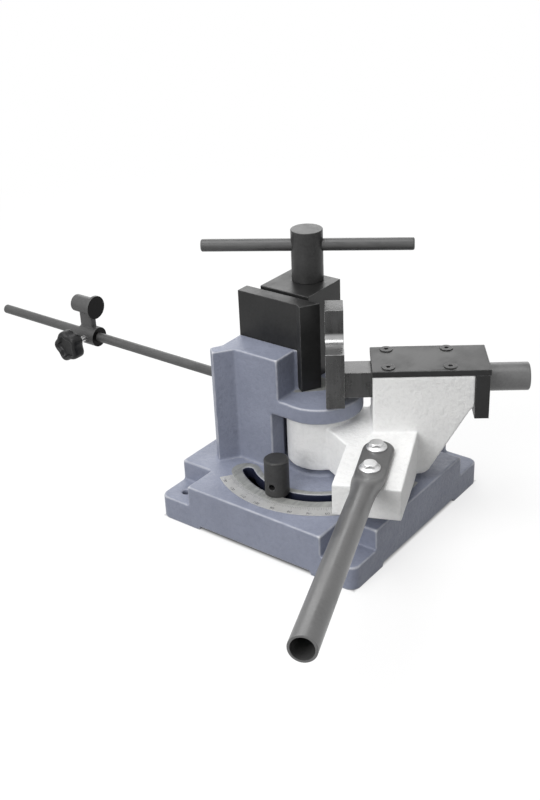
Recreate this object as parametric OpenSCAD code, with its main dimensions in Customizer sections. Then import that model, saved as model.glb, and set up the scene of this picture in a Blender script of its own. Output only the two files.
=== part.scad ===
// Universal metal bender: a cast base with a tower and a fixed jaw, a clamp block worked by an
// eccentric shaft, and a swinging arm whose former folds flat stock round the nose of the jaw.
// Origin on the arm's pivot axis at the base's underside, X along the base's front edge, Z up.

/* [Base] */
// Width and depth of the cast foot
base_w = 300; // [280:1:330]
// Height of the deck
deck_h = 60; // [56:1:70]
// Side of the four square corner notches
notch_w = 48; // [44:1:54]
// Height of the bolt-down steps in the notches
step_h = 32; // [26:1:40]
// Radius of the foot's four corners
corner_r = 12; // [8:1:16]
// Thickness of the deck
deck_t = 16; // [12:1:18]
// Thickness of the skirt round the hollow underside
skirt_t = 14; // [10:1:18]
// Thickness of the ribs below the deck
rib_t = 10; // [8:1:14]
// Length of each foot pad along the foot's side
pad_l = 64; // [50:1:75]
// Height of the foot pads
pad_h = 5; // [3:0.5:7]
// Distance between the bolt holes, both ways
bolt_span = 252; // [248:1:256]
// Diameter of the bolt holes
bolt_hole_d = 11; // [9:0.5:13]

/* [Tower] */
// Height of the tower's top
tower_h = 216; // [200:1:230]
// Distance of the tower's front face from the pivot
tower_front = 54; // [52:1:56]
// Distance of the tower's left face from the pivot
tower_left = 113.5; // [110:0.5:118]
// Distance of the column's right face from the pivot
column_right = 37; // [34:1:40]
// Distance of the upper block's right face from the pivot
block_right = 25.5; // [23:0.5:28]
// Depth of the column behind the pivot
column_back = 30; // [26:1:36]
// Radius of the lug over the hub
lug_r = 55.5; // [52:0.5:58]
// Underside of the lug and shelf
lug_low = 139.5; // [136:0.5:141]
// Top of the machined seat that the jaws stand on
seat_h = 161.5; // [158:0.5:164]
// Height of the machined seat above the painted lug
seat_step = 1; // [0.5:0.5:2]
// Depth of the shelf behind the pivot
shelf_back = 84; // [82:1:95]
// Distance of the shelf's right end from the pivot
shelf_right = 22; // [20:1:26]

/* [Fixed jaw] */
// Thickness of the jaw plate
jaw_t = 19; // [16:0.5:20]
// How far the nose edge lies behind the pivot axis
nose_y = 5; // [2:0.5:5]
// Where the front face ends, left of the pivot
jaw_front_end = 22; // [20:1:26]
// Height of the jaw's top
jaw_h = 277; // [260:1:290]

/* [Clamp] */
// Free gap between the open clamp block and the fixed jaw
clamp_gap = 4.4; // [4.2:0.1:5]
// Width of the clamp block
clamp_w = 74.5; // [68:0.5:76]
// Depth of the clamp block
clamp_d = 71; // [66:1:74]
// Distance of the block's right face from the pivot
clamp_right = 20.6; // [20:0.2:23]
// Clamp shaft axis, left of the pivot
shaft_x = -57; // [-60:0.5:-54]
// Clamp shaft axis, behind the pivot
shaft_y = 60; // [56:1:62]
// Throw of the eccentric
throw = 3.8; // [3:0.1:4]
// Diameter of the eccentric
eccentric_d = 26; // [22:1:28]
// Diameter of the shaft's round head
head_d = 41; // [34:1:44]
// Height of the head's top
head_top = 346; // [330:1:360]
// Diameter of the cross bar
bar_d = 16; // [12:1:17]
// Length of the cross bar
bar_l = 270; // [240:5:300]
// Height of the cross bar
bar_h = 325; // [315:1:332]
// Direction of the cross bar, degrees from X
bar_angle = 32; // [0:1:60]
// Diameter of the shaft in the shelf
pilot_d = 25; // [20:1:26]
// Underside of the boss below the shelf
clamp_boss_low = 92; // [90:1:100]

/* [Arm] */
// Direction of the arm's guide, degrees from X
arm_angle = 35; // [20:1:50]
// Radius of the hub
hub_r = 43; // [40:1:44]
// Top of the boss that carries the hub
boss_top = 65; // [63:0.5:66]
// Thickness of the two thrust washers
washer_t = 2; // [1.5:0.5:2.5]
// Diameter of the pivot pin
pivot_d = 30; // [24:1:32]
// Outer diameter of the hub's bushes
bush_d = 36; // [34:1:40]
// Height of the tongue's top
tongue_top = 128; // [122:1:132]
// Width of the guide box
guide_w = 72; // [68:1:76]
// How far the guide's centre line lies to the front of the pivot
guide_off = 20.5; // [19:0.5:22]
// Where the guide box starts, from the pivot
guide_from = 65; // [60:1:70]
// Where the guide box ends, from the pivot
guide_to = 188; // [180:1:194]
// Height of the guide box's top above the slide's centre
guide_rise = 19.3; // [19:0.1:22]
// Thickness of the guide's top plate
plate_t = 7.5; // [6:0.5:10]
// Thickness of the guide's end plate
end_t = 17.5; // [14:0.5:20]
// Height of the end plate's lower edge
end_low = 145.5; // [140:0.5:155]

/* [Slide] */
// Side of the square slide bar
slide_w = 34; // [30:1:36]
// Height of the slide's centre above the seat
slide_up = 23.2; // [22:0.1:24]
// Where the slide bar ends, from the pivot
slide_to = 150; // [145:1:155]
// Distance of the former's working face from the pivot
former_from = 8; // [8:0.5:12]
// Thickness of the former
former_t = 23; // [18:1:24]
// Width of the former
former_w = 73; // [70:1:78]
// Gap between the seat and the former's underside
former_gap = 1.5; // [1:0.5:3]
// Height of the former's ledge
former_ledge = 235.5; // [225:0.5:245]
// Height of the former's top
former_top = 276; // [265:1:285]
// Width of the former above the ledge
former_top_w = 33; // [28:1:40]
// Radius of the hollow over the ledge
former_r = 11.5; // [8:0.5:14]
// Diameter of the adjusting screw
screw_d = 20; // [16:1:20]
// Diameter of the adjusting screw's head
screw_head_d = 35; // [32:1:40]
// Length of the adjusting screw's head
screw_head_l = 52; // [40:1:60]

/* [Lever] */
// Direction of the tongue and lever, degrees from the guide
tongue_angle = -101.8; // [-104:0.2:-98]
// Width of the tongue
tongue_w = 81; // [76:1:88]
// Thickness of the tongue's front end
tongue_t = 41; // [34:1:44]
// Diameter of the lever tube
tube_d = 28.5; // [25:0.5:30]
// Wall of the lever tube
tube_wall = 2.6; // [2:0.1:3.2]
// Width of the tube's flattened end
flat_w = 38.5; // [36:0.5:40]
// Thickness of the flattened end
flat_t = 8; // [6:0.5:9]
// Length of the flattened end on the tongue
flat_l = 96; // [94:1:105]
// Upward bend of the lever, degrees
lever_rise = 6; // [4:0.5:12]
// Length of the round tube
tube_l = 320; // [300:10:900]
// Distance between the lever's two bolts
lever_pitch = 48.5; // [45:0.5:50]

/* [Angle stop] */
// Radius of the curved slot's centre line
slot_r = 97.5; // [94:0.5:99]
// Width of the slot
slot_w = 14; // [12.2:0.1:14.5]
// Left end of the slot, degrees
slot_from = -129; // [-130:1:-120]
// Right end of the slot, degrees
slot_to = 4; // [0:1:5]
// Inner radius of the machined band round the slot
band_in = 82.5; // [80:0.5:86]
// Outer radius of the machined band round the slot
band_out = 118.5; // [116:0.5:119]
// Height of the machined band above the deck
band_h = 1; // [0.5:0.5:1.5]
// Outer radius of the scale plate
scale_r = 136.5; // [132:0.5:140]
// Right end of the scale plate, degrees
scale_to = 7; // [4:0.5:9]
// Diameter of the stop pin
pin_d = 31; // [26:1:32]
// Height of the stop pin
pin_h = 48; // [42:1:50]
// Direction of the stop pin, degrees
pin_angle = -89; // [-95:0.5:-85]

/* [Length stop] */
// Diameter of the rod
rod_d = 13; // [10:1:14]
// Rod axis, in front of the pivot
rod_y = -36; // [-40:1:-32]
// Height of the rod's axis
rod_z = 163; // [160:1:172]
// Left end of the rod
rod_end = -546; // [-600:1:-450]
// Right face of the holder's collar
holder_x = -352; // [-500:1:-200]
// Diameter of the holder's collar
collar_d = 28; // [24:0.5:30]
// Length of the holder's collar
collar_l = 31; // [26:1:36]
// Height of the stop face's centre above the rod
stop_rise = 44.5; // [40:0.5:50]
// Diameter of the round stop face
stop_face_d = 33; // [28:1:38]
// Diameter of the star knob
knob_d = 44; // [38:1:46]
// Depth of the star knob
knob_t = 20; // [18:1:30]

/* [Hidden] */

$fn = 96;
// Radial clearance of running fits, and gap between flat faces that slide
fit = 0.05;
slip = 0.1;
// Overlap that joins two volumes of one piece, and reach of a cut past a face
join = 1;
cut = 2;

// How far a tapped hole runs on past its screw's end
tap_over = 2;
// Small chamfer of round ends
chamfer = 1.5;

// Base
half_w = base_w / 2;
notch_at = half_w - notch_w;
deck_low = deck_h - deck_t;
boss_drop = 14;
boss_low = deck_low - boss_drop;
boss_d = 80;
raised_boss_d = 76;
rim_d = 91;
rim_h = 2.5;
band_top = deck_h + band_h;

// Screw sizes: shank diameter, head diameter, head height
m6_d = 6;
cap_m6_d = 10;
cap_m6_h = 6;
m8_d = 8;
csk_m8_d = 15.5;
cap_m8_d = 13;
cap_m8_h = 8;
m10_d = 10;
csk_m10_d = 19;
m12_d = 12;
// Sockets, as shares of the screw's shank
csk_socket_share = 0.8;
csk_depth_share = 0.4;
cap_socket_share = 0.85;
// How far countersunk heads lie below their face
csk_sink = 1.2;
csk_rim = 0.4;

// Hub and pivot pin
hub_low = boss_top + washer_t + slip;
hub_top = lug_low - washer_t - slip;
hub_clear = 4;
bush_l = 27;
washer_d = 64;
flange_d = 58;
flange_t = 7;
pivot_in_lug = 15;
pivot_top = lug_low + pivot_in_lug;
pivot_screw_r = 21.5;
pivot_screw_in = 16;

// Wing at the tower's front left corner, its corners counted from there
wing_crease = 22.5;
wing_reach = 23.5;
wing_tip_in = 5.5;
wing_tip_out = 7;
wing_tip_reach = 13;
wing_back_in = 1.5;
wing_back_up = 3;

// Fixed jaw and the machined seat round its nose
jaw_front = nose_y - jaw_t;
painted_h = seat_h - seat_step;
jaw_facet_w = 8;
jaw_facet_d = 4.5;
jaw_flare = block_right - jaw_front_end;
seat_edge = 5;
seat_tip = 8;
jaw_screw_side = 17.5;
jaw_screw_inner = 20.5;
jaw_screw_up = 17.5;
jaw_screw_down = 13;
jaw_screw_in = 20;

// Clamp
clamp_x = -clamp_right - clamp_w / 2;
clamp_y = nose_y + clamp_gap;
block_over = 2;
block_top = jaw_h + block_over;
open_angle = 30;
eccentric_x = throw * cos(open_angle);
eccentric_y = throw * sin(open_angle);
slot_mid_x = (throw + eccentric_x) / 2;
slot_play = (throw - eccentric_x) / 2 + slip;
clamp_boss_d = 52;
thread_d = 20;
thread_l = 26;
clamp_nut_d = 34.6;
clamp_nut_h = 14;
clamp_washer_d = 38;
clamp_washer_t = 3;

// Guide box and the web under it
slide_z = seat_h + slide_up;
guide_top = slide_z + guide_rise;
guide_front = -guide_off - guide_w / 2;
guide_back = -guide_off + guide_w / 2;
web_low = hub_low + join;
web_from = 26;
web_to = 131;
web_r = 16;
toe_low = 162.5;
toe_l = 5;
channel_low = slide_z - slide_w / 2 - fit;
key_low = slide_z + slide_w / 2 + fit;
plate_over = 1.2;
plate_from = guide_from - plate_over;
plate_to = guide_to + end_t + plate_over;
top_screw_from = 19;
top_screw_pitch = 74.5;
top_screw_side = 25.7;
top_screw_back = 1.8;
top_screw_rim = 1.2;
top_screw_in = 18;
end_screw_side = 27;
end_screw_pitch = 20;
end_screw_l = 34;

// Root between the hub and the tongue, in the arm's frame
root_r = 50;
root_left_y = -20;
root_near_x = 3.3;
root_near_y = -32.3;
root_far_x = 31.9;
root_far_y = -84.2;

// Slide, former and adjusting screw
former_low = seat_h + former_gap;
former_back = former_from + former_t;
former_screw_pitch = 17;
former_screw_in = 16;
screw_from = 78;
bore_from = 50;
screw_collar_d = 30;
screw_collar_t = 9;

// Tongue and lever, in a frame at the middle of the tongue's front edge, Y back to the hub
tongue_x = 53.1;
tongue_y = -182.8;
tongue_l = 150;
tongue_slope_l = 118;
tongue_side = 1.1;
lever_bolt_from = 29.5;
lever_bolt_side = -2;
flat_from = -1;
flat_r = 17;
tube_start = 24;
tube_up = 12.5;
tube_side = 0.8;
tube_crush_l = 4;
tube_crush_in = 0.5;
tube_closed_l = 10;
bolt_flange_d = 25.5;
bolt_flange_t = 1.8;
bolt_cone_d = 19;
bolt_cone_h = 2.2;
bolt_hex_d = 19.2;
bolt_face_d = 15.6;
bolt_head_h = 8;
bolt_cone_top = 6;
bolt_turn = 8;
bolt_short = 10;

// Angle stop
pin_x = slot_r * cos(pin_angle);
pin_y = slot_r * sin(pin_angle);
pin_thread_d = 11.8;
pin_thread_over = 2;
pin_hole_d = 8.5;
pin_hole_h = 14;
pin_turn = 10;
stop_nut_w = 28;
stop_nut_h = 14;
scale_gap = 0.6;
scale_in = scale_gap + band_out;
scale_turn = 2.8;
rivet_edge = 4;
rivet_d = 2.5;
rivet_l = 5;
rivet_head_d = 4;
rivet_head_t = 0.4;
rivet_sides = 24;

// Length stop
rod_in = 18;
rod_nut_d = 22;
rod_nut_t = 9;
holder_mid = holder_x - collar_l / 2;
stop_l = 38;
stop_body_d = 24;
stop_face_t = 4.5;
neck_w = 22;
neck_t = 9;
neck_in = 1;
knob_gap = 19;
knob_back = rod_y - collar_d / 2 - knob_gap;
knob_boss_d = 17;
knob_boss_h = 3;
knob_bore_l = 13;
knob_dish_t = 1.5;
knob_stud_in = 12;
// Hollows between the knob's lobes, as shares of its diameter
knob_hollow_place_share = 0.68;
knob_hollow_share = 0.58;

// Places its children in the arm's frame: X along the guide, turned about the pivot
module on_arm() {
    rotate([0, 0, arm_angle]) children();
}

// Places its children at the tongue's front edge: Y runs back along the lever to the hub
module on_tongue() {
    on_arm() translate([tongue_x, tongue_y, tongue_top])
        rotate([0, 0, tongue_angle + 90]) children();
}

// A cylinder along X from one place to another
module rod_x(d, from, to, y, z) {
    translate([from, y, z]) rotate([0, 90, 0]) cylinder(d = d, h = to - from);
}

// A cylinder along Y, towards the back
module rod_y(d, from, to, x, z) {
    translate([x, from, z]) rotate([-90, 0, 0]) cylinder(d = d, h = to - from);
}

module box(from, to) {
    translate(from) cube(to - from);
}

module rounded_box(w, d, h, r) {
    box([-w / 2 + r, -d / 2, 0], [w / 2 - r, d / 2, h]);
    box([-w / 2, -d / 2 + r, 0], [w / 2, d / 2 - r, h]);
    for (x = [-w / 2 + r, w / 2 - r], y = [-d / 2 + r, d / 2 - r])
        translate([x, y, 0]) cylinder(r = r, h = h);
}

// A curved band about the pivot, with round ends a hair narrower than the band
module curved_slot(r, w, from, to, low, high) {
    translate([0, 0, low]) {
        rotate([0, 0, from]) rotate_extrude(angle = to - from)
            translate([r - w / 2, 0]) square([w, high - low]);
        for (a = [from, to])
            rotate([0, 0, a]) translate([r, 0, 0]) cylinder(d = w - slip, h = high - low);
    }
}

// Countersunk socket screw, shank downwards, its cone ending at z = 0 and a rim above that
module csk_screw(shank_d, top_d, len, rim) {
    difference() {
        union() {
            translate([0, 0, -(top_d - shank_d) / 2])
                cylinder(d1 = shank_d, d2 = top_d, h = (top_d - shank_d) / 2);
            translate([0, 0, -len]) cylinder(d = shank_d, h = len - join);
            translate([0, 0, -join]) cylinder(d = top_d, h = rim + join);
        }
        translate([0, 0, rim - shank_d * csk_depth_share])
            cylinder(d = shank_d * csk_socket_share, h = shank_d, $fn = 6);
    }
}

// Hole for csk_screw, a little wider all round, open above z = 0
module csk_hole(shank_d, top_d, len) {
    translate([0, 0, -(top_d - shank_d) / 2])
        cylinder(d1 = shank_d + 2 * fit, d2 = top_d + 2 * fit, h = (top_d - shank_d) / 2);
    translate([0, 0, -len]) cylinder(d = shank_d + 2 * fit, h = len);
    translate([0, 0, -join]) cylinder(d = top_d + 2 * fit, h = csk_sink + cut);
}

// Socket cap screw, head standing on z = 0
module cap_screw(shank_d, top_d, top_h, len) {
    difference() {
        union() {
            translate([0, 0, -len]) cylinder(d = shank_d, h = len + join);
            cylinder(d = top_d, h = top_h);
        }
        translate([0, 0, top_h / 2])
            cylinder(d = shank_d * cap_socket_share, h = top_h, $fn = 6);
    }
}

// Places that several pieces share
module at_pivot_screws() {
    for (i = [0 : 2]) rotate([0, 0, 30 + i * 120]) translate([pivot_screw_r, 0, 0]) children();
}

module at_jaw_screws() {
    for (x = [-tower_left + jaw_screw_side, -block_right - jaw_screw_inner],
            z = [seat_h + jaw_screw_up, tower_h - jaw_screw_down])
        translate([x, nose_y, z]) rotate([-90, 0, 0]) children();
}

module at_top_screws() {
    on_arm() for (x = [0, top_screw_pitch], y = [-top_screw_side, top_screw_side])
        translate([guide_from + top_screw_from + x, y - guide_off + top_screw_back, guide_top + plate_t])
            children();
}

module at_end_screws() {
    on_arm() for (y = [-end_screw_side, end_screw_side], z = [-end_screw_pitch / 2, end_screw_pitch / 2])
        translate([guide_to + end_t, y - guide_off, slide_z + z]) rotate([0, 90, 0]) children();
}

module at_former_screws() {
    on_arm() for (z = [-former_screw_pitch / 2, former_screw_pitch / 2])
        translate([former_from, -guide_off, slide_z + z]) rotate([0, -90, 0]) children();
}

module at_lever_bolts() {
    on_tongue() for (y = [0, lever_pitch])
        translate([lever_bolt_side, lever_bolt_from + y, flat_t]) children();
}

module at_rivets() {
    for (a = [slot_from + 2 * scale_turn, (slot_from + scale_to) / 2, scale_to - scale_turn])
        rotate([0, 0, a]) translate([scale_r - rivet_edge, 0, deck_h]) children();
}

module at_clamp_shaft() {
    translate([shaft_x, shaft_y, 0]) children();
}

module at_stop_pin() {
    translate([pin_x, pin_y, 0]) rotate([0, 0, pin_angle + 90]) children();
}

// The foot without its holes
module foot_block() {
    rounded_box(base_w, base_w, step_h, corner_r);
    box([-notch_at, -half_w, step_h - join], [notch_at, half_w, deck_h]);
    box([-half_w, -notch_at, step_h - join], [half_w, notch_at, deck_h]);
}

// The hollow under the deck, with ribs and the pivot boss left standing
module foot_hollow() {
    inner = half_w - skirt_t;
    corner = notch_at - skirt_t;
    difference() {
        union() {
            box([-inner, -corner, -cut], [inner, corner, deck_low]);
            box([-corner, -inner, -cut], [corner, inner, deck_low]);
        }
        translate([0, 0, boss_low]) cylinder(d = boss_d, h = deck_low);
        box([-rib_t / 2, 0, pad_h], [rib_t / 2, half_w, deck_h]);
        box([-half_w, -rib_t / 2, pad_h], [0, rib_t / 2, deck_h]);
    }
    side = half_w - pad_l;
    box([-side, -base_w, -cut], [side, base_w, pad_h]);
    box([-base_w, -side, -cut], [base_w, side, pad_h]);
    translate([0, 0, -cut]) cylinder(d = boss_d, h = cut + boss_low);
}

// Plan of the diagonal wing at the tower's front left corner
wing_outline = [[-tower_left + wing_back_in, -tower_front + wing_back_up],
    [-tower_left - wing_tip_out, -tower_front - wing_tip_reach],
    [-tower_left + wing_tip_in, -tower_front - wing_reach],
    [-tower_left + wing_crease, -tower_front]];
// Plan of the tower above the seat, and of the column under the shelf
tower_top_outline = concat(wing_outline, [[-block_right, -tower_front],
    [-block_right, jaw_front - jaw_flare], [-jaw_front_end, jaw_front], [-tower_left, jaw_front]]);
column_outline = concat(wing_outline, [[-column_right, -tower_front],
    [-column_right, column_back], [-tower_left, column_back]]);
// Machined seat, a little larger than the jaws that stand on it
seat_outline = [[-tower_left, jaw_front], [-block_right, jaw_front],
    [-jaw_front_end, jaw_front - 2 * seat_edge], [seat_edge, nose_y - seat_edge],
    [seat_tip, nose_y + seat_edge], [seat_tip + seat_edge, column_back],
    [-shelf_right, column_back], [-shelf_right, shelf_back],
    [-tower_left, shelf_back]];

module tower() {
    translate([0, 0, deck_h - join])
        linear_extrude(lug_low - deck_h + 2 * join) polygon(column_outline);
    translate([0, 0, lug_low]) linear_extrude(tower_h - lug_low) polygon(tower_top_outline);
    translate([0, 0, lug_low]) cylinder(r = lug_r, h = painted_h - lug_low);
    box([-tower_left, -tower_front, lug_low], [0, 0, painted_h]);
    box([-tower_left, 0, lug_low], [-shelf_right, shelf_back, painted_h]);
    translate([0, 0, painted_h - join]) linear_extrude(seat_step + join) polygon(seat_outline);
    at_clamp_shaft() translate([0, 0, clamp_boss_low])
        cylinder(d = clamp_boss_d, h = lug_low - clamp_boss_low + join);
}

module base_casting() {
    color("lightslategray") difference() {
        union() {
            foot_block();
            tower();
            cylinder(d = raised_boss_d, h = boss_top);
            cylinder(d = rim_d, h = deck_h + rim_h);
            curved_slot((band_in + band_out) / 2, band_out - band_in, slot_from, slot_to,
                deck_h - join, band_top);
        }
        foot_hollow();
        translate([0, 0, boss_top]) cylinder(r = hub_r + hub_clear, h = lug_low - boss_top);
        cylinder(d = pivot_d + 2 * fit, h = pivot_top + slip);
        at_pivot_screws() translate([0, 0, boss_low - cut])
            cylinder(d = m6_d + 2 * fit, h = cut + pivot_screw_in + tap_over);
        curved_slot(slot_r, slot_w, slot_from, slot_to, deck_low - cut, deck_h + cut);
        for (x = [-1, 1], y = [-1, 1])
            translate([x * bolt_span / 2, y * bolt_span / 2, -cut])
                cylinder(d = bolt_hole_d, h = step_h + 2 * cut);
        at_jaw_screws() translate([0, 0, -jaw_t - jaw_screw_in - tap_over])
            cylinder(d = m10_d + 2 * fit, h = jaw_screw_in + tap_over + cut);
        rod_x(rod_d + 2 * fit, -tower_left - cut, -tower_left + rod_in + slip, rod_y, rod_z);
        at_clamp_shaft() translate([0, 0, clamp_boss_low - cut])
            cylinder(d = pilot_d + 2 * fit, h = seat_h - clamp_boss_low + 2 * cut);
        at_rivets() translate([0, 0, -rivet_l - tap_over])
            cylinder(d = rivet_d + 2 * fit, h = rivet_l + tap_over + cut, $fn = rivet_sides);
    }
}

module scale_plate() {
    color("gainsboro") difference() {
        translate([0, 0, deck_h]) rotate([0, 0, slot_from + scale_turn])
            rotate_extrude(angle = scale_to - slot_from - scale_turn)
                translate([scale_in, 0]) square([scale_r - scale_in, band_h]);
        at_rivets() translate([0, 0, -cut])
            cylinder(d = rivet_d + 2 * fit, h = band_h + 2 * cut, $fn = rivet_sides);
    }
}

module scale_rivets() {
    color("silver") at_rivets() {
        translate([0, 0, -rivet_l]) cylinder(d = rivet_d, h = rivet_l + band_h, $fn = rivet_sides);
        translate([0, 0, band_h]) cylinder(d = rivet_head_d, h = rivet_head_t, $fn = rivet_sides);
    }
}

module pivot_pin() {
    color("dimgray") difference() {
        union() {
            translate([0, 0, boss_low - flange_t]) cylinder(d = flange_d, h = flange_t);
            translate([0, 0, boss_low - join]) cylinder(d = pivot_d, h = pivot_top - boss_low + join);
        }
        at_pivot_screws() translate([0, 0, boss_low - flange_t - cut])
            cylinder(d = m6_d + 2 * fit, h = flange_t + 2 * cut);
    }
}

module pivot_pin_screws() {
    color("dimgray") at_pivot_screws() translate([0, 0, boss_low - flange_t]) rotate([180, 0, 0])
        cap_screw(m6_d, cap_m6_d, cap_m6_h, flange_t + pivot_screw_in);
}

module thrust_washers() {
    color("darkgoldenrod") for (z = [boss_top, lug_low - washer_t])
        translate([0, 0, z]) difference() {
            cylinder(d = washer_d, h = washer_t);
            translate([0, 0, -cut]) cylinder(d = pivot_d + 2 * fit, h = washer_t + 2 * cut);
        }
}

// Plan of the jaw: flat front, a short outward facet, then a bevel to the nose edge
jaw_outline = [[-tower_left, jaw_front], [-jaw_front_end, jaw_front],
    [-jaw_front_end + jaw_facet_w, jaw_front - jaw_facet_d], [0, nose_y], [-tower_left, nose_y]];

module fixed_jaw() {
    color("dimgray") difference() {
        translate([0, 0, seat_h]) linear_extrude(jaw_h - seat_h) polygon(jaw_outline);
        at_jaw_screws() translate([0, 0, -csk_sink]) csk_hole(m10_d, csk_m10_d, jaw_t + cut);
    }
}

module jaw_screws() {
    color("dimgray") at_jaw_screws() translate([0, 0, -csk_sink])
        csk_screw(m10_d, csk_m10_d, jaw_t + jaw_screw_in - csk_sink, csk_rim);
}

module clamp_block() {
    mid_y = shaft_y + eccentric_y;
    color("dimgray") difference() {
        box([clamp_x - clamp_w / 2, clamp_y, seat_h + slip],
            [clamp_x + clamp_w / 2, clamp_y + clamp_d, block_top]);
        translate([shaft_x + slot_mid_x, mid_y, seat_h - cut]) {
            for (x = [-slot_play, slot_play])
                translate([x, 0, 0]) cylinder(d = eccentric_d + 2 * slip, h = jaw_h);
            box([-slot_play, -eccentric_d / 2 - slip, 0],
                [slot_play, eccentric_d / 2 + slip, jaw_h]);
        }
        at_clamp_shaft() translate([0, 0, seat_h - cut])
            cylinder(d = pilot_d + 2 * throw + 2 * slip, h = cut + join + 2 * slip);
    }
}

module clamp_shaft() {
    color("dimgray") at_clamp_shaft() difference() {
        union() {
            translate([0, 0, block_top + slip]) cylinder(d = head_d, h = head_top - block_top - slip);
            translate([eccentric_x, eccentric_y, seat_h + 2 * slip])
                cylinder(d = eccentric_d, h = block_top - seat_h);
            translate([0, 0, clamp_boss_low]) cylinder(d = pilot_d, h = seat_h - clamp_boss_low + join);
            translate([0, 0, clamp_boss_low - thread_l]) cylinder(d = thread_d, h = thread_l + join);
        }
        rotate([0, 0, bar_angle]) rod_x(bar_d + 2 * fit, -head_d, head_d, 0, bar_h);
    }
}

module tommy_bar() {
    color("dimgray") at_clamp_shaft() rotate([0, 0, bar_angle]) {
        rod_x(bar_d, chamfer - bar_l / 2, bar_l / 2 - chamfer, 0, bar_h);
        for (end = [0, 1]) mirror([end, 0, 0]) translate([bar_l / 2 - chamfer, 0, bar_h])
            rotate([0, 90, 0]) cylinder(d1 = bar_d, d2 = bar_d - 2 * chamfer, h = chamfer);
    }
}

module clamp_washer() {
    color("silver") at_clamp_shaft() translate([0, 0, clamp_boss_low - slip - clamp_washer_t])
        difference() {
            cylinder(d = clamp_washer_d, h = clamp_washer_t);
            translate([0, 0, -cut]) cylinder(d = thread_d + 2 * fit, h = clamp_washer_t + 2 * cut);
        }
}

module clamp_nut() {
    color("silver") at_clamp_shaft()
        translate([0, 0, clamp_boss_low - slip - clamp_washer_t - clamp_nut_h]) difference() {
            cylinder(d = clamp_nut_d, h = clamp_nut_h, $fn = 6);
            translate([0, 0, -cut]) cylinder(d = thread_d + 2 * fit, h = clamp_nut_h + 2 * cut);
        }
}

// Side view of the guide box and web: X along the guide, Y up, a round foot below the web's slope
web_slope = atan2(toe_low - toe_l - web_low, guide_to - toe_l - web_to);
web_foot = [for (a = [0 : web_slope / 6 : web_slope])
    [web_to - web_r * tan(web_slope / 2) + web_r * sin(a), web_low + web_r * (1 - cos(a))]];
guide_profile = concat([[web_from, web_low]], web_foot, [[guide_to - toe_l, toe_low - toe_l],
    [guide_to, toe_low], [guide_to, guide_top], [guide_from, guide_top], [guide_from, tongue_top],
    [web_from, tongue_top]]);
// Plan of the root between the hub and the tongue
root_outline = [[0, guide_back], [0, root_left_y], [root_near_x, root_near_y],
    [root_far_x, root_far_y], [root_r, 0], [root_r, guide_back]];
// Side view of the tongue: X back from its front edge, Y down from its top
tongue_profile = [[0, 0], [0, -tongue_t], [tongue_slope_l, web_low + join - tongue_top],
    [tongue_l, web_low + join - tongue_top], [tongue_l, 0]];

module arm_casting() {
    color("whitesmoke") difference() {
        union() {
            translate([0, 0, hub_low]) cylinder(r = hub_r, h = hub_top - hub_low);
            on_arm() {
                translate([0, guide_back, 0]) rotate([90, 0, 0])
                    linear_extrude(guide_w) polygon(guide_profile);
                translate([0, 0, web_low])
                    linear_extrude(tongue_top - web_low) polygon(root_outline);
            }
            on_tongue() translate([-tongue_w / 2 - tongue_side, 0, 0]) rotate([90, 0, 90])
                linear_extrude(tongue_w) polygon(tongue_profile);
        }
        translate([0, 0, hub_low - cut]) cylinder(d = bush_d, h = hub_top - hub_low + 2 * cut);
        on_arm() box([guide_from - cut, -guide_off - slide_w / 2 - fit, channel_low],
            [guide_to + cut, -guide_off + slide_w / 2 + fit, guide_top + cut]);
        at_top_screws() translate([0, 0, -plate_t - top_screw_in - tap_over])
            cylinder(d = m8_d + 2 * fit, h = top_screw_in + tap_over + cut);
        at_end_screws() translate([0, 0, -end_screw_l - tap_over])
            cylinder(d = m8_d + 2 * fit, h = end_screw_l);
        at_lever_bolts() translate([0, 0, -flat_t - tongue_t - cut])
            cylinder(d = m12_d + 2 * fit, h = tongue_t + 2 * cut + join);
    }
}

module hub_bushes() {
    color("darkgoldenrod") for (z = [hub_low, hub_top - bush_l])
        translate([0, 0, z]) difference() {
            cylinder(d = bush_d, h = bush_l);
            translate([0, 0, -cut]) cylinder(d = pivot_d + 2 * fit, h = bush_l + 2 * cut);
        }
}

module guide_top_plate() {
    color("dimgray") difference() {
        on_arm() {
            box([plate_from, guide_front, guide_top], [plate_to, guide_back, guide_top + plate_t]);
            box([guide_from, -guide_off - slide_w / 2, key_low],
                [guide_to, -guide_off + slide_w / 2, guide_top + join]);
        }
        at_top_screws() csk_hole(m8_d, csk_m8_d, plate_t + cut);
    }
}

module top_plate_screws() {
    color("dimgray") at_top_screws()
        csk_screw(m8_d, csk_m8_d, plate_t + top_screw_in, top_screw_rim);
}

module guide_end_plate() {
    color("dimgray") difference() {
        on_arm() difference() {
            box([guide_to, guide_front, end_low], [guide_to + end_t, guide_back, guide_top]);
            rod_x(screw_d + 2 * fit, guide_to - cut, guide_to + end_t + cut, -guide_off, slide_z);
        }
        at_end_screws() {
            translate([0, 0, -end_t - cut]) cylinder(d = m8_d + 2 * fit, h = end_t + 2 * cut);
            translate([0, 0, -cap_m8_h]) cylinder(d = cap_m8_d + 2 * slip, h = cap_m8_h + cut);
        }
    }
}

module end_plate_screws() {
    color("dimgray") at_end_screws() translate([0, 0, -cap_m8_h])
        cap_screw(m8_d, cap_m8_d, cap_m8_h, end_screw_l - cap_m8_h);
}

module slide_bar() {
    color("gray") difference() {
        on_arm() difference() {
            box([former_back, -guide_off - slide_w / 2, slide_z - slide_w / 2],
                [slide_to, -guide_off + slide_w / 2, slide_z + slide_w / 2]);
            rod_x(screw_d + 2 * fit, bore_from, slide_to + cut, -guide_off, slide_z);
        }
        at_former_screws() translate([0, 0, -former_t - former_screw_in - tap_over])
            cylinder(d = m8_d + 2 * fit, h = former_screw_in + tap_over + cut);
    }
}

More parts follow.
